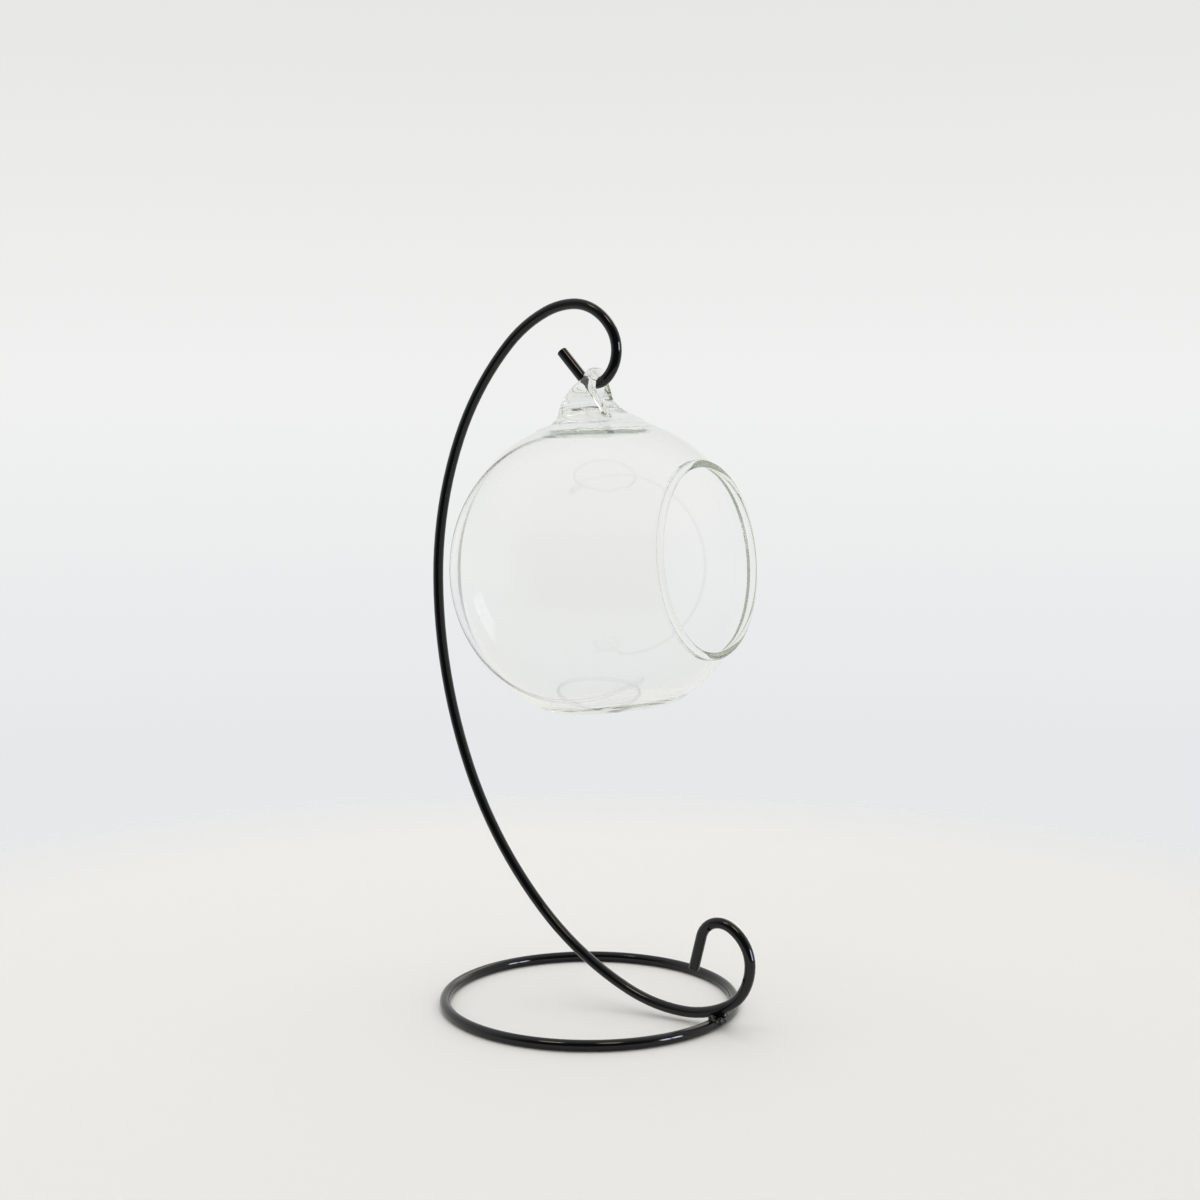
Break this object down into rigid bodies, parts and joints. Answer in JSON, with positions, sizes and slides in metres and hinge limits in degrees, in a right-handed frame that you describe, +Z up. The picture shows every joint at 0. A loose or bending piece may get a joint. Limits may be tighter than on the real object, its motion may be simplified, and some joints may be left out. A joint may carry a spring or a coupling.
{
  "type": "air plant holder",
  "caption": "Clear blown-glass globe with a side mouth and a flat base, hung by its glass eye from the hook of a bent black wire stand with a curled tail and a round wire base ring.",
  "frame": {"origin": "middle of the base ring, on the table that the ring rests on", "axes": "+Z up; +X along the stem's plane, from the bow towards the globe's mouth and the curled tail; +Y away from the side with the larger weld"},
  "size_m": [0.1249, 0.0994, 0.2323],
  "materials": {
    "coated_wire": "glossy black coating on steel wire",
    "coated_weld": "glossy black coating over a rough weld",
    "clear_glass": "blown and fire-polished"
  },
  "bodies": {
    "stand": {"hook_stem": "coated_wire", "base_ring": "coated_wire", "near_weld": "coated_weld", "far_weld": "coated_weld"},
    "globe": {"glass_globe": "clear_glass", "hanging_eye": "clear_glass"}
  },
  "joints": [
    {"name": "globe_swing", "type": "hinge", "parent": "stand", "child": "globe", "pos_m": [0.0023, 0, 0.20466], "axis": [1, 0, 0], "range_deg": [-60, 60]}
  ]
}
